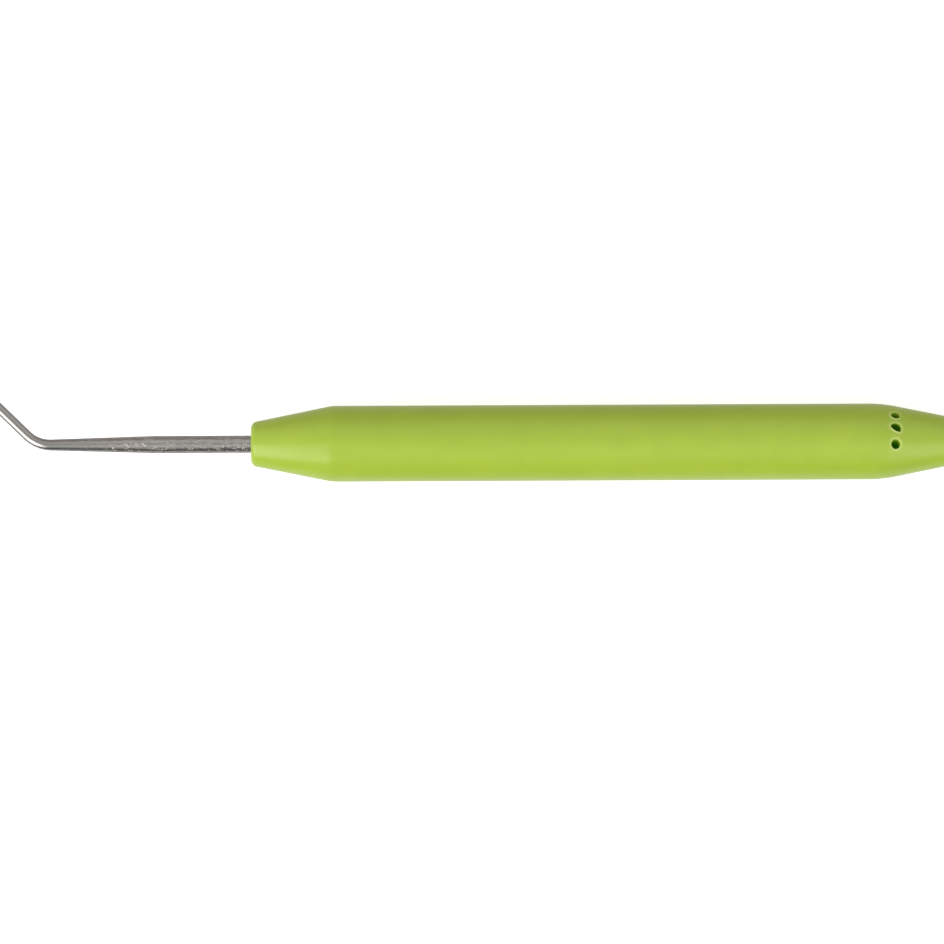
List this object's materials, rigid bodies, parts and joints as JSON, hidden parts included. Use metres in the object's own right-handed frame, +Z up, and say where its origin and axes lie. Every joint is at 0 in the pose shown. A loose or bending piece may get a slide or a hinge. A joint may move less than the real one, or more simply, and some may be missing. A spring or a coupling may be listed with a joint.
{
  "type": "latch hook tool",
  "caption": "Slim hand tool: a cone-ended plastic grip holds a steel wire, tapered and bent, that ends in a yarn hook closed by a swinging latch.",
  "frame": {"origin": "middle of the flat end face of the butt, on the grip's axis", "axes": "+X out of the butt along the grip's axis, so the tool runs along -X; +Z up from the table it lies on; the bent end points to -X and +Y, and dips to the table"},
  "size_m": [0.1302, 0.0207, 0.0094],
  "materials": {
    "lime_plastic": "satin lime green moulding, fine even grain",
    "plug_plastic": "satin lime green moulding, as the grip",
    "swaged_steel": "drawn and swaged wire, pitted along the taper, polished past the bend",
    "latch_steel": "stamped, tumbled smooth",
    "pin_steel": "hard steel pin, ground ends"
  },
  "bodies": {
    "tool": {"handle": "lime_plastic", "end_plug": "plug_plastic", "shank": "swaged_steel", "latch_pin": "pin_steel"},
    "latch": {"latch": "latch_steel"}
  },
  "joints": [
    {"name": "latch_pivot", "type": "hinge", "parent": "tool", "child": "latch", "pos_m": [-0.12347, 0.00847, -0.00236], "axis": [0, -0.2683, -0.9633], "range_deg": [0, 152]}
  ]
}
